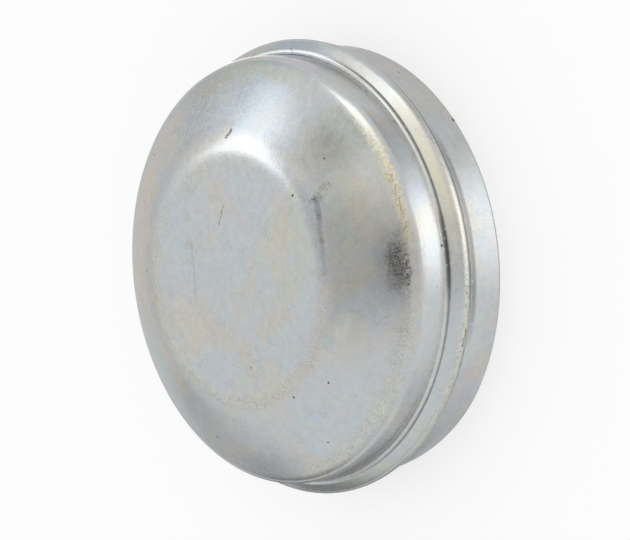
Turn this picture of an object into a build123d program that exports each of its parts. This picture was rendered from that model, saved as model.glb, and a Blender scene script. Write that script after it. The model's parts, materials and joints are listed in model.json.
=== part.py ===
"""Hub grease cap: one deep-drawn steel pressing that closes the outer end of a wheel hub.

The cap is a body of revolution in thin sheet. From the open rim upwards it has a press-fit
skirt, a swaged bead whose rear shoulder stops against the hub, a tight groove at the foot of
the dome, a short cylindrical wall, a slightly crowned conical shoulder and a flat top.

Millimetres. +Z runs along the axis from the open rim to the flat top. The origin is the centre
of the rim.
"""
from build123d import *
from math import radians, tan
import os

# Sheet
SHEET = 1.2  # thickness of the pressing
RIM_EDGE = 0.3  # rounding of the two edges of the rim
SHARPEST_BEND = 0.15  # smallest rounding on the inside of a bend
FLANK_SHARE = 0.45  # most of a flank that one inside rounding may take

# Skirt, pressed into the hub
SKIRT_DIAMETER = 76.2
SKIRT_LENGTH = 7.5  # rim to stop shoulder

# Swaged bead, measured out from the skirt and up from the stop shoulder
SHOULDER_STEP = 0.6  # radial width of the stop shoulder
SHOULDER_ROOT = 0.2  # rounding between skirt and shoulder
SHOULDER_EDGE = 0.3  # rounding of the shoulder's outer edge
CREST_STEP = 2.0  # skirt to the point where the bead's two flanks would meet
CREST_RISE = 2.4  # shoulder to that point
CREST_RADIUS = 1.4
BEAD_WIDTH = 4.2  # shoulder to the ledge at the foot of the dome

# Groove at the foot of the dome
WALL_INSET = 1.05  # skirt radius less wall radius
GROOVE_ROOT = 0.6  # rounding between wall and ledge
LEDGE_WIDTH = 0.8  # wall to the lip where the ledge meets the bead
GROOVE_LIP = 0.2  # rounding of that lip

# Dome
WALL_LENGTH = 6.45  # ledge to the corner where wall and cone would meet
CORNER_RADIUS = 2.8  # wall to cone
CONE_RISE = 7.75  # that corner to the flat top
CONE_CROWN = 0.4  # how far the cone's middle stands out of a straight line
CONE_RADIUS = 60.0  # rounding of the cone at its middle
TOP_DIAMETER = 45.4  # where cone and flat top would meet
TOP_RADIUS = 9.0  # cone to flat top


def outside_bends():
    """Corners of the outside line with their roundings, from the skirt to the flat top."""
    skirt_radius = SKIRT_DIAMETER / 2
    wall_radius = skirt_radius - WALL_INSET
    ledge_height = SKIRT_LENGTH + BEAD_WIDTH
    corner_height = ledge_height + WALL_LENGTH
    top_height = corner_height + CONE_RISE
    wall_top = Vector(wall_radius, corner_height)
    top_edge = Vector(TOP_DIAMETER / 2, top_height)
    up_the_cone = (top_edge - wall_top).normalized()
    crown = (wall_top + top_edge) / 2 + up_the_cone.rotate(Axis.Z, -90) * CONE_CROWN
    return [
        ((skirt_radius, SKIRT_LENGTH), SHOULDER_ROOT),
        ((skirt_radius + SHOULDER_STEP, SKIRT_LENGTH), SHOULDER_EDGE),
        ((skirt_radius + CREST_STEP, SKIRT_LENGTH + CREST_RISE), CREST_RADIUS),
        ((wall_radius + LEDGE_WIDTH, ledge_height), GROOVE_LIP),
        ((wall_radius, ledge_height), GROOVE_ROOT),
        ((wall_radius, corner_height), CORNER_RADIUS),
        ((crown.X, crown.Y), CONE_RADIUS),
        ((TOP_DIAMETER / 2, top_height), TOP_RADIUS),
    ]


def with_ends(corners):
    """A line's corners and its two ends, the first on the rim and the last on the axis."""
    return [(corners[0][0], 0), *corners, (0, corners[-1][1])]


def set_in(points, distance):
    """Corners of a line after each of its flanks has moved to the left by a distance."""
    flanks = []
    for start, end in zip(points, points[1:]):
        along = (Vector(end) - Vector(start)).normalized()
        flanks.append(Axis(Vector(start) + along.rotate(Axis.Z, 90) * distance, along))
    meetings = [flank.intersect(following) for flank, following in zip(flanks, flanks[1:])]
    return [(meeting.X, meeting.Y) for meeting in meetings]


def inside_bends():
    """Corners one sheet thickness inside the outside line.

    Each bend keeps the centre of its outside rounding, as far as its flanks leave room.
    """
    bends = outside_bends()
    points = with_ends(set_in(with_ends([corner for corner, _ in bends]), SHEET))
    inside = []
    for (_, rounding), before, corner, after in zip(bends, points, points[1:], points[2:]):
        arriving = Vector(corner) - Vector(before)
        leaving = Vector(after) - Vector(corner)
        half_turn = radians(arriving.get_angle(leaving)) / 2
        bends_inwards = arriving.cross(leaving).Z > 0
        concentric = rounding - SHEET if bends_inwards else rounding + SHEET
        room = FLANK_SHARE * min(arriving.length, leaving.length) / tan(half_turn)
        inside.append((corner, min(max(concentric, SHARPEST_BEND), room)))
    return inside


def rounded_line(bends):
    """Line from the rim to the axis with every corner rounded."""
    corners = [corner for corner, _ in bends]
    roundings = [rounding for _, rounding in bends]
    return FilletPolyline(*with_ends(corners), radius=roundings)


def sheet_section():
    """Half section of the sheet between its outside and inside lines."""
    outside = rounded_line(outside_bends())
    inside = rounded_line(inside_bends())
    rim = Line(outside @ 0, inside @ 0)
    centre = Line(outside @ 1, inside @ 1)
    section = make_face(outside.edges() + centre.edges() + inside.edges() + rim.edges())
    rim_corners = section.vertices().group_by(Axis.Y)[0]
    return fillet(rim_corners, RIM_EDGE)


def grease_cap():
    """The whole pressing: the section turned about the axis."""
    return revolve(Plane.XZ * sheet_section(), Axis.Z)


os.makedirs("parts", exist_ok=True)
export_step(grease_cap(), "parts/grease_cap.step")
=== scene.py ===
"""Hub grease cap, dressed for a studio picture.

One piece: a deep-drawn sheet pressing, zinc plated and a little worn. Its section is drawn from
named sizes and turned about the axis. Metres, in the frame of the solid part: +Z along the axis
from the open rim to the flat top, the origin at the centre of the rim.

Two measures place things on the cap. "Along" runs up the outside from the rim to the middle of
the flat top, and is negative on the inside. "Around" is the angle about the axis from +X.
"""
import cmath
import json
import math
from typing import NamedTuple

import bpy
import numpy as np
from mathutils import Matrix, Vector


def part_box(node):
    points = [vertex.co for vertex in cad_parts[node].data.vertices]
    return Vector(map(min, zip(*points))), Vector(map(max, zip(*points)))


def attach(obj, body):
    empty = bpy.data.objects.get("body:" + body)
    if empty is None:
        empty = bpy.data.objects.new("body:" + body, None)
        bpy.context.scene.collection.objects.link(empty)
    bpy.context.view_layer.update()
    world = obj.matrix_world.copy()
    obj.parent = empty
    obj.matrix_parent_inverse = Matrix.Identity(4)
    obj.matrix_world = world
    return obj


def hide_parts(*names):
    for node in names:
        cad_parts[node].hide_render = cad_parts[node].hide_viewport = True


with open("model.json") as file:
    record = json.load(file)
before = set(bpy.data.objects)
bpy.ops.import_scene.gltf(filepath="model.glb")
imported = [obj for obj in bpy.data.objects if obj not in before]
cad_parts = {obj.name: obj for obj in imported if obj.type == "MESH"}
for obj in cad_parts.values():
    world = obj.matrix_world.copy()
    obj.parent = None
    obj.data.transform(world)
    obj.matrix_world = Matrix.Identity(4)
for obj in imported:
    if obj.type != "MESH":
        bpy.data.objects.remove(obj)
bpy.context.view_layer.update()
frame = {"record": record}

bl_info = {
    "name": "Hub Grease Cap",
    "version": (1, 0, 0),
    "blender": (4, 5, 0),
    "location": "3D View > Sidebar > Grease Cap",
    "description": "Builds a zinc-plated hub grease cap and a studio to show it in",
    "category": "Object",
}

MM = 0.001
CAP_NODE = "grease_cap"
CAP_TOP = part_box(CAP_NODE)[1].z
SKIRT_MOUNT = next(mount for mount in frame["record"]["mounts"] if mount["name"] == "skirt")


# Properties that a user would change

def length(name, description, millimetres):
    """A length, opened at a size in millimetres."""
    return bpy.props.FloatProperty(
        name=name, description=description, default=millimetres * MM, unit="LENGTH", precision=5
    )


def angle(name, description, degrees):
    """An angle, opened at a size in degrees."""
    return bpy.props.FloatProperty(
        name=name, description=description, default=math.radians(degrees), subtype="ANGLE"
    )


def colour(name, description, red, green, blue):
    """A colour in linear light."""
    return bpy.props.FloatVectorProperty(
        name=name, description=description, default=(red, green, blue), subtype="COLOR",
        min=0.0, max=1.0,
    )


def share(name, description, default):
    """A part of one."""
    return bpy.props.FloatProperty(
        name=name, description=description, default=default, subtype="FACTOR", min=0.0, max=1.0
    )


class CapShape(bpy.types.PropertyGroup):
    """Sizes of the pressing's section."""

    sheet: length("Sheet", "Thickness of the pressing", 1.2)
    rim_edge: length("Rim edge", "Rounding of the two edges of the rim", 0.3)
    sharpest_bend: length("Sharpest bend", "Smallest rounding on the inside of a bend", 0.15)
    rim_knock: length("Rim knock", "How far a knock has set the rim in at one place", 0.8)
    rim_knock_place: angle("Rim knock place", "Where round the axis that knock is", 193.0)
    rim_knock_reach: angle("Rim knock reach", "Half the arc that it bent", 38.0)
    skirt_radius: length("Skirt radius", "Radius of the press-fit skirt", SKIRT_MOUNT["dims"]["r_mm"])
    skirt_length: length("Skirt length", "Rim to stop shoulder", 7.5)
    shoulder_step: length("Shoulder step", "Radial width of the stop shoulder", 0.6)
    shoulder_root: length("Shoulder root", "Rounding between skirt and shoulder", 0.2)
    shoulder_edge: length("Shoulder edge", "Rounding of the shoulder's outer edge", 0.3)
    crest_step: length("Crest step", "Skirt to the point where the bead's flanks would meet", 2.0)
    crest_rise: length("Crest rise", "Shoulder to that point", 2.4)
    crest_radius: length("Crest radius", "Rounding of the bead's crest", 1.4)
    bead_width: length("Bead width", "Shoulder to the ledge at the foot of the dome", 4.2)
    wall_inset: length("Wall inset", "Skirt radius less wall radius", 1.05)
    groove_root: length("Groove root", "Rounding between wall and ledge", 0.6)
    ledge_width: length("Ledge width", "Wall to the lip of the bead", 0.8)
    groove_lip: length("Groove lip", "Rounding of that lip", 0.2)
    wall_length: length("Wall length", "Ledge to the corner of wall and cone", 6.45)
    corner_radius: length("Corner radius", "Rounding between wall and cone", 2.8)
    cone_crown: length("Cone crown", "How far the middle of the cone stands out of a straight line", 0.4)
    cone_radius: length("Cone radius", "Rounding of the cone at its middle", 60.0)
    top_reach: length("Top reach", "Radius at which cone and flat top would meet", 22.7)
    top_radius: length("Top radius", "Rounding between cone and flat top", 12.0)
    height: length("Height", "Rim to flat top", CAP_TOP / MM)
    segments: bpy.props.IntProperty(
        name="Segments", description="Faces once round the cap", default=420, min=32
    )


class ZincFinish(bpy.types.PropertyGroup):
    """Colours and gloss of the zinc plate, with the colours of the light and shade painted on it."""

    zinc: colour("Zinc", "The plain plate", 0.495, 0.508, 0.504)
    sky: colour("Sky", "Pale blue tint of the passivation film", 0.48, 0.515, 0.54)
    violet: colour("Violet", "Blue to violet tint of the film", 0.455, 0.475, 0.52)
    teal: colour("Teal", "Green to blue tint of the film", 0.455, 0.52, 0.51)
    azure: colour("Azure", "Blue tint of the film", 0.452, 0.515, 0.595)
    sage: colour("Sage", "Grey-green tint of the film", 0.487, 0.507, 0.462)
    rose: colour("Rose", "Mauve tint of the film", 0.575, 0.515, 0.535)
    peach: colour("Peach", "Pale orange tint of the film", 0.68, 0.56, 0.47)
    beige: colour("Beige", "Beige tint of the film", 0.53, 0.51, 0.455)
    tan: colour("Tan", "Light brown tint of the film", 0.525, 0.485, 0.43)
    straw: colour("Straw", "Yellow tint of the film", 0.60, 0.51, 0.34)
    olive: colour("Olive", "Dull green tint of worn plate", 0.43, 0.44, 0.39)
    cream: colour("Cream", "Plate worn bright and yellow", 0.62, 0.60, 0.51)
    # Painted light only: lighter plate that stands in for highlight and sparkle on the cone and the
    # skirt, on the bead's front slope and in the groove's root.
    bright: colour("Bright", "Plate rubbed bright", 0.61, 0.615, 0.59)
    # Painted light: the back slope of the bead drawn lighter, in place of a brighter reflection.
    painted_bead_light: colour("Polish", "Where the bead was rubbed bright", 0.80, 0.76, 0.67)
    # Painted shade along the bead: under the shoulder, on the crest, in the groove and on one side of
    # the skirt.
    painted_shade: colour("Soot", "Grey dirt along the bead", 0.12, 0.12, 0.125)
    rust: colour("Rust", "Brown specks in worn plate", 0.30, 0.19, 0.09)
    # Real dirt in pits, specks and scratches, and also painted shade in the groove and on the bead's
    # back slope, and painted dark reflection on the cone and along the flat top's edge.
    grime_and_shade: colour("Grime", "Old dirt in creases and pits", 0.095, 0.077, 0.055)
    roughness: share("Roughness", "Roughness of the plain plate", 0.2)
    worn_roughness: share("Worn roughness", "Roughness of worn and dirty plate", 0.34)


class StudioStage(bpy.types.PropertyGroup):
    """Camera, floor and light."""

    camera_place: bpy.props.FloatVectorProperty(
        name="Camera place", description="Where the camera stands", unit="LENGTH",
        default=(-0.00076, -0.41894, 0.38876),
    )
    camera_tilt: angle("Camera tilt", "Turn of the view up from straight down", 47.68)
    camera_roll: angle("Camera roll", "Turn of the camera about its own view", -96.8)
    lens: bpy.props.FloatProperty(
        name="Lens", description="Focal length of the camera", default=185.5, unit="CAMERA"
    )
    floor: colour("Floor", "Colour of the plain floor", 0.9, 0.9, 0.9)
    floor_reach: length("Floor reach", "Half the side of the floor", 3000.0)
    floor_white: share("Floor white", "How far the floor is seen as plain white", 0.65)
    lamp_size: length("Lamp size", "Width of the lamp overhead", 800.0)
    lamp_height: length("Lamp height", "Floor to the lamp overhead", 900.0)
    lamp_power: bpy.props.FloatProperty(
        name="Lamp power", description="Power of the lamp overhead", default=0.5, unit="POWER"
    )
    surroundings: bpy.props.FloatProperty(
        name="Surroundings", description="Brightness of the white room", default=1.0
    )


# Shader nodes

def node(tree, kind, inputs=None, **settings):
    """Adds a node, sets its options, and sets or links its inputs."""
    made = tree.nodes.new("ShaderNode" + kind)
    for name, value in settings.items():
        setattr(made, name, value)
    for name, value in (inputs or {}).items():
        if isinstance(value, bpy.types.NodeSocket):
            tree.links.new(value, made.inputs[name])
        else:
            made.inputs[name].default_value = value
    return made


def maths(tree, operation, first, second=0.0):
    """One sum on numbers."""
    made = node(tree, "Math", {0: first, 1: second}, operation=operation)
    return made.outputs[0]


def vectors(tree, operation, first, second):
    """One sum on two vectors: a vector, or the number of a distance or a dot product."""
    made = node(tree, "VectorMath", {0: first, 1: second}, operation=operation)
    return made.outputs["Value" if operation in ("DISTANCE", "DOT_PRODUCT") else "Vector"]


def times(tree, vector, by):
    """A vector made longer by a number."""
    return node(tree, "VectorMath", {0: vector, "Scale": by}, operation="SCALE").outputs["Vector"]


def fade(tree, value, start, end, at_start=1.0, at_end=0.0):
    """A smooth change from one number to another while a value goes from start to end."""
    made = node(
        tree, "MapRange",
        {"Value": value, "From Min": start, "From Max": end, "To Min": at_start, "To Max": at_end},
        interpolation_type="SMOOTHSTEP", clamp=False,
    )
    return made.outputs["Result"]


def blended(tree, factor, first, second, blend="MIX"):
    """Two colours mixed by a factor."""
    made = node(tree, "Mix", {0: factor, 6: first, 7: second}, data_type="RGBA", blend_type=blend)
    return made.outputs[2]


def noise(tree, place, per_millimetre, detail, rough=0.5, output="Fac"):
    """Cloudy noise between 0 and 1, as a number or, from the output Color, as a colour."""
    made = node(
        tree, "TexNoise",
        {"Vector": place, "Scale": per_millimetre, "Detail": detail, "Roughness": rough},
    )
    return made.outputs[output]


def with_alpha(shade):
    """A colour property as a node's four numbers."""
    return (*shade, 1.0)


def new_material(name):
    """An empty node material and its tree."""
    material = bpy.data.materials.new(name)
    material.use_nodes = True
    material.node_tree.nodes.clear()
    return material, material.node_tree


def finish_mixed(tree, factor, first, second):
    """Ends a material in two shaders mixed by a factor."""
    mixed = node(tree, "MixShader", {0: factor, 1: first.outputs[0], 2: second.outputs[0]})
    node(tree, "OutputMaterial", {"Surface": mixed.outputs[0]})


# The section of the pressing, as complex numbers: radius + height * 1j

TURN_STEP = math.radians(7.5)
INSIDE_TURN_STEP = math.radians(15.0)
RUN_STEP = 0.75 * MM
INSIDE_RUN_STEP = 1.5 * MM
FLANK_SHARE = 0.45


def outside_bends(shape):
    """Corners of the outside line with their roundings, from the skirt to the flat top."""
    skirt = shape.skirt_radius
    wall = skirt - shape.wall_inset
    shoulder = shape.skirt_length * 1j
    ledge = shoulder + shape.bead_width * 1j
    corner = wall + ledge + shape.wall_length * 1j
    top = shape.top_reach + shape.height * 1j
    crown = (corner + top) / 2 - 1j * shape.cone_crown * (top - corner) / abs(top - corner)
    return [
        (skirt + shoulder, shape.shoulder_root),
        (skirt + shape.shoulder_step + shoulder, shape.shoulder_edge),
        (skirt + shape.crest_step + shoulder + shape.crest_rise * 1j, shape.crest_radius),
        (wall + shape.ledge_width + ledge, shape.groove_lip),
        (wall + ledge, shape.groove_root),
        (corner, shape.corner_radius),
        (crown, shape.cone_radius),
        (top, shape.top_radius),
    ]


def set_in(points, distance):
    """Corners of a line after each of its flanks has moved to its left by a distance."""
    ways = [(end - start) / abs(end - start) for start, end in zip(points, points[1:])]
    moved = []
    for corner, arriving, leaving in zip(points[1:-1], ways, ways[1:]):
        opening = 1 + (arriving.conjugate() * leaving).real
        moved.append(corner + 1j * distance * (arriving + leaving) / opening)
    return moved


def with_ends(corners):
    """A line's corners with its ends: the first on the rim and the last on the axis."""
    return [corners[0].real + 0j, *corners, corners[-1].imag * 1j]


def inside_bends(shape):
    """Corners one sheet thickness inside, each bend about the centre of its outside rounding."""
    bends = outside_bends(shape)
    points = with_ends(set_in(with_ends([corner for corner, _ in bends]), shape.sheet))
    inside = []
    for (_, rounding), before, corner, after in zip(bends, points, points[1:], points[2:]):
        arriving, leaving = corner - before, after - corner
        turn = cmath.phase(leaving / arriving)
        concentric = rounding - math.copysign(shape.sheet, turn)
        room = FLANK_SHARE * min(abs(arriving), abs(leaving)) / math.tan(abs(turn) / 2)
        inside.append((corner, min(max(concentric, shape.sharpest_bend), room)))
    return inside


def rounding_points(before, corner, after, rounding, turn_step):
    """Points of the round at a corner, from one tangent point to the other."""
    arriving = (corner - before) / abs(corner - before)
    leaving = (after - corner) / abs(after - corner)
    turn = cmath.phase(leaving / arriving)
    start = corner - arriving * rounding * math.tan(abs(turn) / 2)
    centre = start + arriving * 1j * math.copysign(rounding, turn)
    steps = max(2, math.ceil(abs(turn) / turn_step))
    return [centre + (start - centre) * cmath.exp(1j * turn * k / steps) for k in range(steps + 1)]


def rounded_line(first, bends, last, turn_step, run_step):
    """Points of a line with rounded corners and no straight step longer than run_step."""
    points = [first, *[corner for corner, _ in bends], last]
    line = [first]
    for (corner, rounding), before, after in zip(bends, points, points[2:]):
        bend = rounding_points(before, corner, after, rounding, turn_step)
        line += run_points(line[-1], bend, run_step)
    return line + run_points(line[-1], [last], run_step)


def run_points(start, following, run_step):
    """Points of the straight run from start up to what follows it, and what follows."""
    run = following[0] - start
    steps = max(1, math.ceil(abs(run) / run_step))
    return [start + run * k / steps for k in range(1, steps)] + following


def section_line(shape):
    """The whole section and its measure along, from the inside's middle round the rim to the top."""
    outside, inside = outside_bends(shape), inside_bends(shape)
    rim_outside = (outside[0][0].real + 0j, shape.rim_edge)
    rim_inside = (inside[0][0].real + 0j, shape.rim_edge)
    half_rim = (rim_outside[0] + rim_inside[0]) / 2
    inner = rounded_line(
        inside[-1][0].imag * 1j, [*reversed(inside), rim_inside], half_rim,
        INSIDE_TURN_STEP, INSIDE_RUN_STEP,
    )
    outer = rounded_line(
        half_rim, [rim_outside, *outside], outside[-1][0].imag * 1j, TURN_STEP, RUN_STEP
    )
    line = np.array(inner + outer[1:])
    travelled = np.concatenate([[0.0], np.cumsum(np.abs(np.diff(line)))])
    on_skirt = np.isclose(line.imag, shape.rim_edge) & (line.real > half_rim.real)
    lowest_of_skirt = np.flatnonzero(on_skirt)[0]
    return line, travelled - travelled[lowest_of_skirt] + shape.rim_edge


# The pressing's mesh

def turned_points(line, segments):
    """Every row of the section turned about the axis, with the two points on the axis last."""
    around = np.arange(segments) * (2 * math.pi / segments)
    rows = line[1:-1]
    places = np.empty((len(rows), segments, 3))
    places[..., 0] = rows.real[:, None] * np.cos(around)
    places[..., 1] = rows.real[:, None] * np.sin(around)
    places[..., 2] = rows.imag[:, None]
    ends = [(0.0, 0.0, line[0].imag), (0.0, 0.0, line[-1].imag)]
    return np.concatenate([places.reshape(-1, 3), ends])


def turned_faces(rows, segments):
    """Four-sided faces between the rows, and a fan of triangles at each end of the section."""
    here = np.arange(segments)
    beside = (here + 1) % segments
    faces = []
    for row in range(rows - 1):
        low, high = row * segments, (row + 1) * segments
        faces += np.stack([low + here, low + beside, high + beside, high + here], 1).tolist()
    first_end, last_end = rows * segments, rows * segments + 1
    last = (rows - 1) * segments
    faces += [[first_end, b, a] for a, b in zip(here.tolist(), beside.tolist())]
    faces += [[last_end, last + a, last + b] for a, b in zip(here.tolist(), beside.tolist())]
    return faces


def knocked(shape, places):
    """The points after the knock at the rim. It dies out towards the stop shoulder."""
    around = np.arctan2(places[:, 1], places[:, 0])
    away = np.angle(np.exp(1j * (around - shape.rim_knock_place))) / shape.rim_knock_reach
    below = np.clip(1 - places[:, 2] / shape.skirt_length, 0, 1)
    at_rim = below * (np.hypot(places[:, 0], places[:, 1]) > shape.skirt_radius - 2 * shape.sheet)
    set_in_by = shape.rim_knock * at_rim * np.clip(1 - away**2, 0, 1) ** 2
    moved = places.copy()
    moved[:, 0] -= set_in_by * np.cos(around)
    moved[:, 1] -= set_in_by * np.sin(around)
    return moved


def pressing_mesh(shape):
    """The pressing as one closed smooth mesh that knows its measure along."""
    line, along = section_line(shape)
    places = knocked(shape, turned_points(line, shape.segments))
    mesh = bpy.data.meshes.new("grease_cap_pressing")
    mesh.from_pydata(places.tolist(), [], turned_faces(len(line) - 2, shape.segments))
    mesh.validate()
    mesh.shade_smooth()
    measure = mesh.attributes.new("along", "FLOAT", "POINT")
    every = np.concatenate([np.repeat(along[1:-1], shape.segments), along[[0, -1]]])
    measure.data.foreach_set("value", (every / MM).astype(np.float32))
    return mesh


# Places on the cap

def outside_point(shape):
    """Gives the function from a place on the outside, around and along, to a point in millimetres."""
    line, measure = section_line(shape)

    def point(around, along):
        reach = np.interp(along * MM, measure, line.real) / MM
        rise = np.interp(along * MM, measure, line.imag) / MM
        turn = math.radians(around)
        return Vector((reach * math.cos(turn), reach * math.sin(turn), rise))

    return point


class FilmOrPaintedLight(NamedTuple):
    """A tint of the film, or painted light or shade, with its blots: around in degrees, along and radius
    in millimetres.
    """

    tint: str
    strength: float
    blots: tuple
    speckled: bool = False


class WearOrPaintedLight(NamedTuple):
    """Speckled worn plate, or painted light or shade, along an edge, on an arc about the middle angle.
    """

    tint: str
    strength: float
    low: float
    high: float
    middle: float
    arc: float
    per_millimetre: float
    cover: float
    streaked: bool = False


class ScratchOrPaintedReflection(NamedTuple):
    """A thin scratch, or a thin line of painted dark reflection, from one place to another."""

    start: tuple
    end: tuple
    width: float
    strength: float
    tint: str = "grime_and_shade"


FILMS_AND_PAINTED_LIGHT = (
    FilmOrPaintedLight("sky", 0.9, (
        (343, 44.3, 3.0), (328, 43.8, 3.0), (324, 46.2, 3.0), (2, 53.0, 4.0), (330, 56.0, 4.0),
        (49, 41.4, 3.2), (64, 42.4, 3.6), (76, 45.6, 3.6),
        (146, 40.9, 3.4), (158, 41.4, 3.4), (157, 38.3, 3.0),
        (223, 42.6, 3.0), (228, 39.6, 3.0), (216, 40.6, 3.0),
        (212, 32.4, 4.0), (221, 30.7, 4.0), (222, 26.9, 4.0), (203, 28.1, 4.0), (214, 23.4, 3.0),
        (254, 27.4, 1.8), (272, 3.5, 2.6), (266, 2.0, 2.2), (279, 2.5, 2.0),
    )),
    FilmOrPaintedLight("azure", 0.7, (
        (346, 27.5, 3.6), (356, 29.0, 3.4), (350, 31.5, 2.8), (339, 26.5, 2.6), (5, 30.5, 2.6),
        (207, 30.0, 1.2), (198, 25.0, 1.2),
    )),
    FilmOrPaintedLight("azure", 0.3, (
        (328, 28.5, 3.0), (334, 31.0, 2.8), (326, 31.5, 2.6), (18, 31.0, 3.0), (27, 28.0, 2.6),
    )),
    FilmOrPaintedLight("violet", 0.8, (
        (286, 17.0, 2.6), (331, 19.0, 1.4), (346, 17.8, 2.0), (236, 5.0, 2.2), (230, 3.0, 2.2),
    )),
    FilmOrPaintedLight("sage", 0.85, (
        (316, 24.2, 3.0), (310, 28.0, 3.2), (303, 27.5, 3.2), (299, 31.0, 2.8), (306, 24.0, 3.0),
        (282, 31.1, 2.8), (290, 30.5, 2.8), (276, 31.0, 2.4), (20, 40.5, 1.6),
        (303, 39.0, 2.2), (292, 40.0, 2.2), (280, 40.5, 2.4), (270, 41.0, 2.4), (262, 44.0, 2.4),
        (253, 46.5, 2.4), (300, 46.0, 2.4), (315, 17.6, 2.0),
        (189, 11.6, 2.6), (196, 11.3, 2.6), (203, 11.0, 2.6), (211, 10.5, 2.6), (220, 10.3, 2.6),
    )),
    FilmOrPaintedLight("teal", 0.95, (
        (121, 28.0, 2.6), (127, 27.5, 2.6), (133, 27.0, 2.2), (115, 29.0, 2.4),
        (201, 31.0, 1.6), (196, 29.5, 1.4), (236, 34.7, 1.4),
    )),
    FilmOrPaintedLight("peach", 0.5, (
        (52, 27.0, 3.0), (60, 28.0, 4.0), (68, 28.0, 4.0), (77, 29.0, 4.0), (86, 28.5, 3.6),
        (69, 33.5, 2.0),
    )),
    FilmOrPaintedLight("rose", 0.75, (
        (34, 24.5, 2.6), (42, 25.4, 2.8), (50, 27.4, 3.4), (60, 28.0, 3.8), (70, 28.0, 3.8),
        (80, 29.0, 3.8), (90, 29.5, 3.2), (341, 17.6, 2.2), (334, 17.5, 2.2), (336, 3.1, 2.6),
        (328, 3.5, 2.6),
    )),
    FilmOrPaintedLight("beige", 0.85, (
        (296, 43.4, 2.4), (286, 46.0, 2.8), (272, 47.6, 2.2), (291, 49.0, 2.2),
        (112, 41.9, 3.6), (124, 45.0, 3.4), (128, 42.1, 3.4), (246, 29.4, 1.8),
        (292, 27.5, 2.6), (285, 27.8, 2.6), (278, 27.5, 2.4), (270, 33.0, 2.4), (266, 29.5, 2.6),
        (262, 32.0, 2.2), (258, 35.0, 1.8), (132, 31.6, 2.6), (118, 34.3, 2.4), (108, 36.5, 2.2),
        (97, 37.0, 2.2), (83, 36.6, 2.0), (148, 27.0, 2.0), (158, 25.4, 2.0), (167, 26.8, 2.0),
    )),
    FilmOrPaintedLight("tan", 0.7, (
        (9, 44.0, 1.8), (0, 43.4, 1.4), (291, 54.0, 1.3), (258, 54.7, 1.3),
        (141, 47.4, 2.4), (163, 47.5, 2.4), (180, 45.7, 2.0), (185, 42.8, 1.8),
        (209, 47.3, 1.7), (224, 46.8, 1.5), (236, 44.6, 1.4), (291, 43.8, 2.4), (302, 42.0, 1.8),
        (236, 2.8, 2.2), (239, 1.6, 2.0), (323, 17.4, 2.0), (308, 18.0, 2.0),
    )),
    FilmOrPaintedLight("straw", 0.35, (
        (16, 24.0, 1.4), (1, 27.8, 1.2), (10, 24.8, 1.4), (287, 26.6, 0.9), (265, 4.6, 0.7),
        (273.4, 1.3, 0.5),
    )),
    FilmOrPaintedLight("cream", 0.5, ((244, 32.8, 1.6), (249, 31.8, 1.4))),
    # Painted light: speckled lighter plate standing in for the sparkle of the highlight on the cone, and
    # one spot on the skirt.
    FilmOrPaintedLight("bright", 0.22, (
        (346, 28.0, 3.4), (335, 28.5, 3.4), (327, 31.0, 2.8), (352, 31.0, 2.8), (336, 32.5, 2.4),
        (278, 3.0, 3.0),
    ), speckled=True),
    FilmOrPaintedLight("olive", 0.5, ((30, 40.5, 0.9), (45, 43.5, 0.9), (60, 46.5, 0.9))),
    # Dark blots on the cone by its corner and at the right edge of the flat top: dirt specks, and in
    # part painted dark reflection.
    FilmOrPaintedLight("grime_and_shade", 0.12, (
        (272, 23.5, 1.6), (269, 23.0, 1.8), (266, 23.0, 1.6), (262, 24.0, 1.2), (297, 34.0, 1.4),
        (291, 34.8, 0.9),
    )),
    FilmOrPaintedLight("grime_and_shade", 0.38, (
        (273, 23.4, 1.4), (269, 23.4, 1.9), (265, 23.2, 1.6), (261, 23.8, 1.1), (300, 32.2, 1.0),
        (297, 34.0, 1.2),
    ), speckled=True),
    FilmOrPaintedLight("grime_and_shade", 0.55, (
        (271, 22.7, 1.0), (269, 22.5, 1.3), (266, 22.4, 1.2), (263, 22.6, 0.8), (297, 34.1, 0.6),
    ), speckled=True),
)

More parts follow.
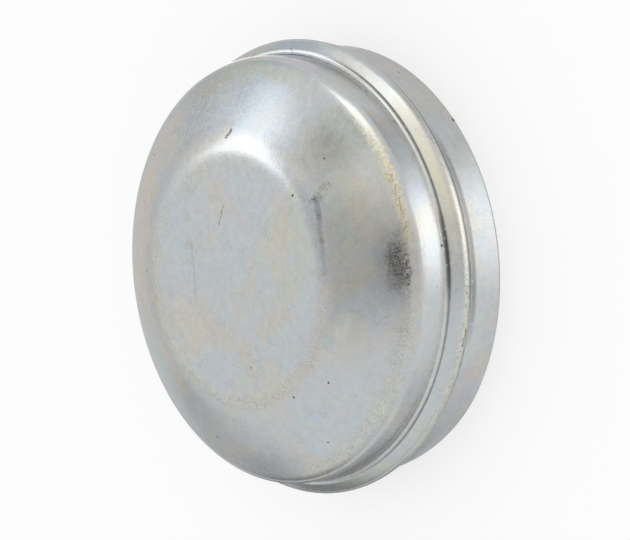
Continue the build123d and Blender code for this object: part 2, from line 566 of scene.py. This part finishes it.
WEARS_AND_PAINTED_LIGHT = (
    WearOrPaintedLight("olive", 0.8, 21.0, 24.0, 354, 22, 0.4, 0.8),
    WearOrPaintedLight("straw", 0.75, 23.0, 33.0, 66, 38, 1.8, 0.42, streaked=True),
    WearOrPaintedLight("olive", 0.4, 37.8, 40.8, 5, 34, 2.6, 0.5),
    WearOrPaintedLight("olive", 0.5, 36.5, 39.5, 68, 45, 2.0, 0.5),
    WearOrPaintedLight("cream", 0.45, 36.0, 38.2, 165, 52, 0.9, 0.7),
    WearOrPaintedLight("olive", 0.6, 35.8, 38.0, 165, 54, 2.4, 0.45),
    WearOrPaintedLight("tan", 0.7, 34.6, 37.6, 240, 24, 2.0, 0.5),
    WearOrPaintedLight("grime_and_shade", 0.18, 35.4, 37.6, 190, 56, 3.0, 0.3),
    # Painted dark reflection along the right edge of the flat top.
    WearOrPaintedLight("grime_and_shade", 0.14, 35.3, 36.3, 283, 16, 2.6, 0.62),
    WearOrPaintedLight("straw", 0.45, 20.0, 22.0, 290, 17, 1.1, 0.55),
    WearOrPaintedLight("cream", 0.9, 19.8, 22.0, 292, 18, 1.7, 0.5),
    WearOrPaintedLight("rust", 0.65, 20.5, 21.7, 284, 9, 3.0, 0.28),
    WearOrPaintedLight("tan", 0.6, 19.6, 22.4, 262, 12, 1.9, 0.5),
    WearOrPaintedLight("cream", 0.6, 20.2, 22.8, 222, 34, 1.8, 0.4),
    WearOrPaintedLight("olive", 0.8, 20.2, 23.2, 222, 34, 2.8, 0.4),
    WearOrPaintedLight("cream", 0.6, 9.9, 11.0, 262, 44, 1.4, 0.55),
    WearOrPaintedLight("grime_and_shade", 0.55, 9.5, 10.7, 248, 18, 2.6, 0.28),
    # Painted light on the bead's front slope.
    WearOrPaintedLight("bright", 0.85, 11.4, 13.0, 302, 36, 0.6, 1.0),
    WearOrPaintedLight("straw", 0.2, 10.6, 13.0, 292, 17, 0.6, 0.9),
    WearOrPaintedLight("cream", 0.7, 8.2, 10.2, 237, 18, 0.6, 1.0),
    # Painted shade in the gap under the bead's shoulder.
    WearOrPaintedLight("painted_shade", 0.58, 5.9, 7.0, 274, 22, 0.5, 1.0),
    # Painted light on the bead's back slope.
    WearOrPaintedLight("painted_bead_light", 0.95, 7.3, 8.6, 282, 40, 0.6, 1.0),
    # Painted shade on the bead's crest, narrowing its highlight.
    WearOrPaintedLight("painted_shade", 0.4, 8.9, 9.8, 280, 18, 0.6, 1.0),
    # Painted shade in the groove.
    WearOrPaintedLight("painted_shade", 0.32, 13.25, 13.75, 207, 24, 0.6, 1.0),
    # Painted shade: the skirt darker on this side.
    WearOrPaintedLight("painted_shade", 0.2, 3.0, 7.4, 206, 10, 0.6, 1.0),
    # Painted light: lighter flecks standing in for sparkle in the highlight on the cone.
    WearOrPaintedLight("bright", 0.6, 23.0, 33.0, 20, 45, 3.4, 0.33),
    # Painted light at the foot of the wall, in the root of the groove, here and on the next line.
    WearOrPaintedLight("bright", 0.9, 13.9, 15.4, 225, 44, 0.6, 1.0),
    WearOrPaintedLight("bright", 0.9, 13.9, 15.4, 312, 32, 0.6, 1.0),
    # Painted shade on the bead's back slope.
    WearOrPaintedLight("grime_and_shade", 0.45, 8.0, 9.6, 275, 14, 0.5, 1.0),
    # Painted shade along the lip of the groove.
    WearOrPaintedLight("grime_and_shade", 0.5, 13.1, 13.5, 308, 26, 0.8, 1.0),
    # Painted shade in the groove.
    WearOrPaintedLight("grime_and_shade", 0.75, 13.1, 14.0, 269, 8, 0.8, 1.0),
)

SCRATCHES_AND_PAINTED_REFLECTIONS = (
    ScratchOrPaintedReflection((356.8, 35.2), (355.2, 34.5), 0.45, 0.8),
    ScratchOrPaintedReflection((355.2, 34.6), (354.4, 34.1), 0.75, 0.85),
    ScratchOrPaintedReflection((3.0, 46.7), (16.3, 49.7), 0.2, 0.65),
    ScratchOrPaintedReflection((339.3, 40.6), (336.3, 41.5), 0.2, 0.35),
    ScratchOrPaintedReflection((60.2, 47.0), (109.4, 47.3), 0.5, 0.13),
    ScratchOrPaintedReflection((201.1, 44.8), (213.4, 43.9), 0.3, 0.12),
    ScratchOrPaintedReflection((249.8, 9.9), (246.0, 10.2), 0.4, 0.7),
    ScratchOrPaintedReflection((351.9, 12.9), (351.2, 13.6), 0.3, 0.6),
    ScratchOrPaintedReflection((291.5, 20.8), (288.6, 21.3), 0.35, 0.35, "rust"),
    ScratchOrPaintedReflection((288.2, 21.0), (285.2, 21.4), 0.3, 0.45, "rust"),
    ScratchOrPaintedReflection((285.6, 20.8), (281.8, 21.2), 0.35, 0.5, "rust"),
    ScratchOrPaintedReflection((281.4, 20.8), (279.6, 21.3), 0.3, 0.35, "rust"),
    ScratchOrPaintedReflection((277.6, 20.9), (276.2, 21.5), 0.35, 0.4, "rust"),
    # These three are no scratches but a painted dark reflection along the right edge of the flat top.
    ScratchOrPaintedReflection((296.0, 34.5), (289.6, 35.1), 1.1, 0.3),
    ScratchOrPaintedReflection((289.6, 35.1), (280.0, 36.0), 0.9, 0.28),
    ScratchOrPaintedReflection((280.0, 36.0), (266.0, 36.3), 0.9, 0.18),
)

PITS = (
    (307.5, 29.6, 0.22), (305.1, 38.0, 0.3), (45.9, 24.8, 0.3), (271.2, 14.3, 0.25),
    (185.2, 42.8, 0.2), (222.8, 31.6, 0.25), (203.5, 25.1, 0.2), (206.1, 34.7, 0.25),
    (83.7, 34.3, 0.25), (152.2, 26.6, 0.25), (324.3, 2.9, 0.2), (304.6, 0.4, 0.4),
)


# The zinc plate

STREAK_REACH = 6.0
BAND_SOFTNESS = 0.3
ARC_SOFTNESS = 0.7
SOFTEST_ARC = 10.0
SPOT_SPREAD = 0.3
SPOT_SOFTNESS = 0.05
FILM_SPOTS_PER_MM = 2.7
SCRIBBLE_STRENGTH = 0.13
SPECK_STRENGTH = 0.25
HUE_SPREAD = 0.18
MOTTLE_RELIEF = 0.8
RELIEF_DEPTH = 0.012 * MM
EDGE_TINT = (0.75, 0.75, 0.76, 1.0)

# Where a mark starts to fade and where it ends, as shares of its radius or width

BLOT_FADE = (0.55, 1.4)
PIT_FADE = (0.4, 1.2)
SCRATCH_FADE = (0.25, 0.75)

# Fades of noise: its start and its end, and what the fade gives at each

SKY_CLOUDS = (0.44, 0.56, 0.6, 0.0)
BEIGE_CLOUDS = (0.54, 0.64, 0.0, 0.5)
FILM_PATCHES = (0.3, 0.6, 0.7, 1.0)
GREY_CHANGE = (0.25, 0.75, 0.96, 1.04)
ROUGHNESS_CHANGE = (0.3, 0.7, -0.02, 0.03)
SCRIBBLE_PATCHES = (0.5, 0.6, 0.0, 1.0)


class ZincNodes:
    """The plate's node tree with the places and the noises that its layers share."""

    def __init__(self, tree, shape):
        self.tree = tree
        self.point = outside_point(shape)
        self.place = times(tree, node(tree, "TexCoord").outputs["Object"], 1 / MM)
        self.along = node(tree, "Attribute", attribute_name="along").outputs["Fac"]
        sideways = vectors(tree, "MULTIPLY", self.place, (1.0, 1.0, 0.0))
        self.outwards = node(tree, "VectorMath", {0: sideways}, operation="NORMALIZE").outputs["Vector"]
        round_about = times(tree, self.outwards, STREAK_REACH)
        lifted = node(tree, "CombineXYZ", {"Z": self.along}).outputs[0]
        self.stretched = vectors(tree, "ADD", round_about, lifted)
        self.swayed = self.moved(per_millimetre=0.3, detail=5.0, rough=0.65, reach=3.0)
        self.ruffled = self.moved(per_millimetre=0.9, detail=3.0, rough=0.6, reach=0.6)
        self.hues = noise(tree, self.place, 0.4, 5.0, 0.7, "Color")
        self.clouds = noise(tree, self.place, 0.09, 4.0, 0.55)
        self.mottle = noise(tree, self.place, 0.7, 4.0, 0.6)
        self.grain = noise(tree, self.place, 3.0, 3.0, 0.75)

    def moved(self, per_millimetre, detail, rough, reach):
        """The place, moved about by noise as far as a reach in millimetres."""
        shade = noise(self.tree, self.place, per_millimetre, detail, rough, "Color")
        parts = node(self.tree, "SeparateColor", {0: shade}).outputs
        shift = node(self.tree, "CombineXYZ", {0: parts[0], 1: parts[1], 2: parts[2]}).outputs[0]
        corner = vectors(self.tree, "SUBTRACT", self.place, (reach, reach, reach))
        return node(
            self.tree, "VectorMath", {0: shift, 1: (2 * reach, 2 * reach, 2 * reach), 2: corner},
            operation="MULTIPLY_ADD",
        ).outputs["Vector"]

    def dots(self, place, dots, core, edge):
        """How far a place lies in any of some round dots, which fade from core to edge."""
        cover = 0.0
        for around, along, radius in dots:
            away = vectors(self.tree, "DISTANCE", place, self.point(around, along))
            inside = fade(self.tree, away, core * radius, edge * radius)
            cover = maths(self.tree, "MAXIMUM", cover, inside)
        return cover

    def blots(self, blots):
        """How far a place lies in any of the blots, whose edges are ragged."""
        return self.dots(self.swayed, blots, *BLOT_FADE)

    def pits(self):
        """Small round holes in the plate."""
        return self.dots(self.place, PITS, *PIT_FADE)

    def arc(self, middle, half):
        """How far a place lies in an arc about the axis."""
        soft = min(SOFTEST_ARC, ARC_SOFTNESS * half)
        turn = math.radians(middle)
        towards = (math.cos(turn), math.sin(turn), 0.0)
        turned = vectors(self.tree, "DOT_PRODUCT", self.outwards, towards)
        outer, inner = math.cos(math.radians(half + soft)), math.cos(math.radians(half - soft))
        return fade(self.tree, turned, outer, inner, 0.0, 1.0)

    def band(self, low, high):
        """How far a place lies between two measures along."""
        soft = BAND_SOFTNESS * (high - low)
        above = fade(self.tree, self.along, low - soft, low + soft, 0.0, 1.0)
        below = fade(self.tree, self.along, high - soft, high + soft)
        return maths(self.tree, "MULTIPLY", above, below)

    def wear_or_light(self, wear_or_light):
        """Speckle in a band on an arc."""
        band = self.band(wear_or_light.low, wear_or_light.high)
        cover = maths(self.tree, "MULTIPLY", band, self.arc(wear_or_light.middle, wear_or_light.arc))
        place = self.stretched if wear_or_light.streaked else self.place
        return maths(self.tree, "MULTIPLY", cover, self.spots(place, wear_or_light.per_millimetre, wear_or_light.cover))

    def spots(self, place, per_millimetre, cover):
        """Spots that take up about a given share of the surface."""
        level = 0.5 + SPOT_SPREAD * (0.5 - cover)
        cloud = noise(self.tree, place, per_millimetre, 3.0, 0.6)
        return fade(self.tree, cloud, level - SPOT_SOFTNESS, level + SPOT_SOFTNESS, 0.0, 1.0)

    def scratch(self, scratch):
        """A thin mark between two places."""
        start, end = self.point(*scratch.start), self.point(*scratch.end)
        run = end - start
        across = vectors(self.tree, "SUBTRACT", self.ruffled, start)
        travelled = vectors(self.tree, "DOT_PRODUCT", across, run / run.length_squared)
        travelled = node(self.tree, "Clamp", {"Value": travelled}).outputs[0]
        away = vectors(self.tree, "DISTANCE", across, times(self.tree, run, travelled))
        core, edge = (by * scratch.width for by in SCRATCH_FADE)
        return fade(self.tree, away, core, edge, scratch.strength, 0.0)

    def scribbles(self):
        """Faint fine scratches, here and there."""
        crack = node(
            self.tree, "TexVoronoi", {"Vector": self.swayed, "Scale": 0.35}, feature="DISTANCE_TO_EDGE"
        ).outputs["Distance"]
        line = fade(self.tree, crack, 0.008, 0.035)
        here = fade(self.tree, noise(self.tree, self.place, 0.3, 3.0), *SCRIBBLE_PATCHES)
        return maths(self.tree, "MULTIPLY", line, here)

    def specks(self):
        """Stray specks, one to a cell."""
        away = node(self.tree, "TexVoronoi", {"Vector": self.place, "Scale": 0.22}).outputs["Distance"]
        return fade(self.tree, away, 0.02, 0.045)


def zinc_plate(finish, shape):
    """Zinc with a thin passivation film: tinted clouds, worn edges, scratches, fine grain, and painted
    light, shade and dark reflection on the cone, the flat top's edge, the bead, the groove and the
    skirt.
    """
    material, tree = new_material("zinc_plate")
    plate = ZincNodes(tree, shape)

    def tint(name):
        return with_alpha(getattr(finish, name))

    def scaled(value, by):
        return maths(tree, "MULTIPLY", value, by)

    base = blended(tree, fade(tree, plate.clouds, *SKY_CLOUDS), tint("zinc"), tint("sky"))
    base = blended(tree, fade(tree, plate.clouds, *BEIGE_CLOUDS), base, tint("beige"))
    patchy = fade(tree, plate.mottle, *FILM_PATCHES)
    speckle = plate.spots(plate.place, FILM_SPOTS_PER_MM, 0.5)
    # Tints of the film, and blots of painted light and shade.
    for film in FILMS_AND_PAINTED_LIGHT:
        cover = maths(tree, "MULTIPLY", plate.blots(film.blots), speckle if film.speckled else patchy)
        base = blended(tree, scaled(cover, film.strength), base, tint(film.tint))
    worn = 0.0
    # Worn plate, and bands of painted light and shade; worn gathers them all for the roughness.
    for wear_or_light in WEARS_AND_PAINTED_LIGHT:
        cover = plate.wear_or_light(wear_or_light)
        base = blended(tree, scaled(cover, wear_or_light.strength), base, tint(wear_or_light.tint))
        worn = maths(tree, "MAXIMUM", worn, cover)
    pits = plate.pits()
    marks = pits
    # Scratches, and lines of painted dark reflection.
    for scratch in SCRATCHES_AND_PAINTED_REFLECTIONS:
        cover = plate.scratch(scratch)
        base = blended(tree, cover, base, tint(scratch.tint))
        marks = maths(tree, "MAXIMUM", marks, cover)
    base = blended(tree, scaled(plate.scribbles(), SCRIBBLE_STRENGTH), base, tint("grime_and_shade"))
    base = blended(tree, scaled(plate.specks(), SPECK_STRENGTH), base, tint("grime_and_shade"))
    base = blended(tree, pits, base, tint("grime_and_shade"))
    mottled = fade(tree, plate.mottle, *GREY_CHANGE)
    grey = maths(tree, "MULTIPLY", mottled, fade(tree, plate.grain, *GREY_CHANGE))
    base = blended(tree, 1.0, base, grey, "MULTIPLY")
    least = 1 - HUE_SPREAD / 2
    hues = node(
        tree, "VectorMath",
        {0: plate.hues, 1: (HUE_SPREAD, HUE_SPREAD, HUE_SPREAD), 2: (least, least, least)},
        operation="MULTIPLY_ADD",
    )
    base = blended(tree, 1.0, base, hues.outputs["Vector"], "MULTIPLY")
    rough = fade(tree, worn, 0.0, 1.0, finish.roughness, finish.worn_roughness)
    rough = maths(tree, "ADD", rough, fade(tree, plate.mottle, *ROUGHNESS_CHANGE))
    height = maths(tree, "ADD", plate.grain, scaled(plate.mottle, MOTTLE_RELIEF))
    height = maths(tree, "SUBTRACT", height, marks)
    bump = node(tree, "Bump", {"Strength": 1.0, "Distance": RELIEF_DEPTH, "Height": height})
    shader = node(
        tree, "BsdfPrincipled",
        {
            "Base Color": base, "Roughness": rough, "Metallic": 1.0,
            "Specular Tint": EDGE_TINT, "Normal": bump.outputs["Normal"],
        },
    )
    node(tree, "OutputMaterial", {"Surface": shader.outputs["BSDF"]})
    return material


# The studio

class Card(NamedTuple):
    """A soft-edged card round the cap that only its gloss shows, lit evenly to a brightness."""

    name: str
    place: tuple
    faces: tuple
    width: float
    height: float
    turn: float
    soft: float
    light: tuple


CARD_LIFT = 0.3 * MM
CARD_GAP = 0.02 * MM


def lit(light):
    """A card's light as a colour, from a colour or from a plain brightness."""
    return light if isinstance(light, tuple) else (light, light, light)


def sky(name, azimuth, elevation, width, height, light, turn=0.0, soft=0.4, distance=0.6):
    """A card that faces the cap from above the horizon, by its direction from +Y towards +X."""
    across, up = math.radians(azimuth), math.radians(elevation)
    out = Vector((math.sin(across) * math.cos(up), math.cos(across) * math.cos(up), math.sin(up)))
    place = Vector((0.0, 0.0, CAP_TOP / 2)) + out * distance
    return Card(name, tuple(place), tuple(-out), width, height, turn, soft, lit(light))


def laid(name, x, y, width, height, light, turn=0.0, soft=0.5):
    """A card that lies on the floor beside the cap."""
    return Card(name, (x, y, CARD_LIFT), (0.0, 0.0, 1.0), width, height, turn, soft, lit(light))


CARDS = (
    sky("key_softbox", 29, 43.5, 0.25, 0.20, 2.5, turn=12, distance=0.56),
    sky("key_side", 48, 37.5, 0.27, 0.24, (1.8, 1.82, 1.85), turn=12, soft=0.5, distance=0.58),
    sky("key_glow", 54, 10, 0.34, 0.42, (0.75, 0.81, 0.87), soft=0.7),
    sky("side_softbox", 104, 28, 0.50, 0.24, 2.2, turn=46, distance=0.56),
    sky("warm_wall", 132, 42, 0.42, 0.68, (1.25, 1.19, 0.99), soft=0.6),
    sky("far_wall", -4, 6, 2.3, 0.5, 0.89, soft=0.5, distance=0.7),
    sky("far_flag", 31, 6, 0.20, 0.18, 0.74, soft=0.7),
    sky("far_corner_flag", -45, 11, 0.24, 0.26, 0.7, soft=0.7),
    sky("left_wall", -82, 8, 0.9, 0.6, 0.84, soft=0.7, distance=0.7),
    sky("camera_side", 184, 34, 0.46, 1.15, 0.77, soft=0.6, distance=0.62),
    sky("ceiling", 180, 85, 0.75, 0.75, 0.665, soft=0.7, distance=0.66),
    sky("ceiling_flag", 12, 63, 0.30, 0.28, 0.68, soft=0.7),
    sky("ceiling_corner_flag", 85, 53, 0.22, 0.24, 0.55, soft=0.7),
    sky("dark_flag", 186, 68, 0.26, 0.13, 0.02, soft=0.6),
    sky("side_flag", -58, 0, 0.15, 0.09, 0.34, soft=0.7, distance=0.14),
    sky("side_wing", -25, 0, 0.085, 0.09, 0.72, soft=0.7, distance=0.16),
    laid("bounce_card", 0.0068, -0.0500, 0.045, 0.019, 2.08, turn=-8, soft=0.9),
    laid("outer_bounce_card", 0.010, -0.064, 0.046, 0.022, 2.0, turn=-10, soft=0.85),
    laid("long_bounce_card", 0.030, -0.093, 0.030, 0.08, 1.6, turn=-22, soft=0.85),
    laid("near_bounce_card", 0.0046, -0.0395, 0.032, 0.016, 1.6, turn=-4, soft=0.9),
    laid("wide_bounce_card", -0.015, -0.06, 0.08, 0.08, 1.08, soft=0.8),
    laid("near_flag", 0.044, -0.042, 0.046, 0.032, 0.66, soft=0.8),
    laid("corner_flag", -0.038, -0.03, 0.036, 0.036, 0.8, soft=0.8),
    laid("outer_corner_flag", -0.054, -0.003, 0.032, 0.046, 0.66, soft=0.8),
    laid("far_bounce_card", 0.0455, 0.026, 0.020, 0.066, (2.2, 2.1, 2.2), turn=14, soft=0.7),
    laid("top_bounce_card", 0.0425, 0.003, 0.012, 0.020, (2.0, 1.95, 2.0), soft=0.7),
    laid("floor_flag", -0.047, 0.019, 0.062, 0.084, 0.4, soft=0.65),
)


def card_material(card):
    """Even light that fades out towards the card's edges."""
    material, tree = new_material(card.name)
    place = node(tree, "SeparateXYZ", {0: node(tree, "TexCoord").outputs["Object"]})
    across = fade(tree, maths(tree, "ABSOLUTE", place.outputs["X"]), 1 - card.soft, 1.0)
    up = fade(tree, maths(tree, "ABSOLUTE", place.outputs["Y"]), 1 - card.soft, 1.0)
    light = node(tree, "Emission", {"Color": (*card.light, 1.0), "Strength": 1.0})
    clear = node(tree, "BsdfTransparent")
    finish_mixed(tree, maths(tree, "MULTIPLY", across, up), clear, light)
    return material


def square_mesh(name, half):
    """A flat square about the origin."""
    mesh = bpy.data.meshes.new(name)
    corners = [(-half, -half, 0.0), (half, -half, 0.0), (half, half, 0.0), (-half, half, 0.0)]
    mesh.from_pydata(corners, [], [(0, 1, 2, 3)])
    return mesh


def new_object(name, data):
    """An object in the scene."""
    made = bpy.data.objects.new(name, data)
    bpy.context.scene.collection.objects.link(made)
    return made


def add_card(card, lift):
    """One card, seen in the cap's gloss and not by the camera, lifted clear of those below it."""
    mesh = square_mesh(card.name, 1.0)
    mesh.materials.append(card_material(card))
    made = new_object(card.name, mesh)
    facing = Vector(card.faces).to_track_quat("-Z", "Y").to_matrix().to_4x4()
    turn = Matrix.Rotation(math.radians(card.turn), 4, "Z")
    size = Matrix.Diagonal((card.width / 2, card.height / 2, 1.0, 1.0))
    place = Matrix.Translation(Vector(card.place) + Vector((0.0, 0.0, lift)))
    made.matrix_world = place @ facing @ turn @ size
    made.visible_camera = made.visible_diffuse = made.visible_shadow = False


def add_floor(stage):
    """A plain pale floor that the rim stands on. It keeps a part of the cap's shadow."""
    material, tree = new_material("studio_floor")
    paint = node(tree, "BsdfDiffuse", {"Color": with_alpha(stage.floor)})
    white = node(tree, "Emission", {"Color": (1.0, 1.0, 1.0, 1.0), "Strength": 1.0})
    path = node(tree, "LightPath").outputs
    seen = maths(tree, "MAXIMUM", path["Is Camera Ray"], path["Is Glossy Ray"])
    seen = maths(tree, "MAXIMUM", seen, path["Is Transmission Ray"])
    finish_mixed(tree, maths(tree, "MULTIPLY", seen, stage.floor_white), paint, white)
    mesh = square_mesh("studio_floor", stage.floor_reach)
    mesh.materials.append(material)
    new_object("studio_floor", mesh)


def add_lamp(stage):
    """A wide soft lamp above the cap."""
    lamp = bpy.data.lights.new("overhead_lamp", "AREA")
    lamp.shape = "DISK"
    lamp.size = stage.lamp_size
    lamp.energy = stage.lamp_power
    made = new_object("overhead_lamp", lamp)
    made.location = (0.0, 0.0, stage.lamp_height)
    made.visible_camera = made.visible_glossy = False


def add_surroundings(stage):
    """A white room on all sides."""
    world = bpy.data.worlds.new("studio_room")
    world.use_nodes = True
    tree = world.node_tree
    tree.nodes.clear()
    shader = node(
        tree, "Background", {"Color": (1.0, 1.0, 1.0, 1.0), "Strength": stage.surroundings}
    )
    node(tree, "OutputWorld", {"Surface": shader.outputs["Background"]})
    bpy.context.scene.world = world


def add_camera(stage):
    """The camera at the picture's viewing angle."""
    camera = bpy.data.cameras.new("picture_camera")
    camera.lens = stage.lens
    made = new_object("picture_camera", camera)
    turn = Matrix.Rotation(stage.camera_tilt, 4, "X") @ Matrix.Rotation(stage.camera_roll, 4, "Z")
    made.matrix_world = Matrix.Translation(stage.camera_place) @ turn
    bpy.context.scene.camera = made


# Operators and panel

class GREASECAP_OT_pressing(bpy.types.Operator):
    """Build the zinc-plated pressing"""

    bl_idname = "grease_cap.pressing"
    bl_label = "Build Pressing"

    def execute(self, context):
        mesh = pressing_mesh(context.scene.cap_shape)
        mesh.materials.append(zinc_plate(context.scene.zinc_finish, context.scene.cap_shape))
        cap = new_object("grease_cap_pressing", mesh)
        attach(cap, "root")
        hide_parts(CAP_NODE)
        return {"FINISHED"}


class GREASECAP_OT_studio(bpy.types.Operator):
    """Set the floor, the light and the camera"""

    bl_idname = "grease_cap.studio"
    bl_label = "Set Studio"

    def execute(self, context):
        stage = context.scene.studio_stage
        context.scene.view_settings.view_transform = "Standard"
        add_floor(stage)
        add_surroundings(stage)
        add_lamp(stage)
        for order, card in enumerate(reversed(CARDS)):
            add_card(card, order * CARD_GAP)
        add_camera(stage)
        return {"FINISHED"}


class GREASECAP_PT_sidebar(bpy.types.Panel):
    """The cap's sizes, finish and studio"""

    bl_label = "Grease Cap"
    bl_idname = "GREASECAP_PT_sidebar"
    bl_space_type = "VIEW_3D"
    bl_region_type = "UI"
    bl_category = "Grease Cap"

    def draw(self, context):
        groups = (context.scene.cap_shape, context.scene.zinc_finish, context.scene.studio_stage)
        for group in groups:
            box = self.layout.box()
            for name in group.__annotations__:
                box.prop(group, name)
        self.layout.operator(GREASECAP_OT_pressing.bl_idname)
        self.layout.operator(GREASECAP_OT_studio.bl_idname)


CLASSES = (
    CapShape,
    ZincFinish,
    StudioStage,
    GREASECAP_OT_pressing,
    GREASECAP_OT_studio,
    GREASECAP_PT_sidebar,
)


def register():
    """Adds the classes and their settings to Blender."""
    for added in CLASSES:
        bpy.utils.register_class(added)
    bpy.types.Scene.cap_shape = bpy.props.PointerProperty(type=CapShape)
    bpy.types.Scene.zinc_finish = bpy.props.PointerProperty(type=ZincFinish)
    bpy.types.Scene.studio_stage = bpy.props.PointerProperty(type=StudioStage)


def unregister():
    """Takes them away again."""
    del bpy.types.Scene.studio_stage
    del bpy.types.Scene.zinc_finish
    del bpy.types.Scene.cap_shape
    for added in reversed(CLASSES):
        bpy.utils.unregister_class(added)


def main():
    """Registers the add-on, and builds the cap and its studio."""
    register()
    bpy.ops.grease_cap.pressing()
    bpy.ops.grease_cap.studio()


if __name__ == "__main__":
    main()
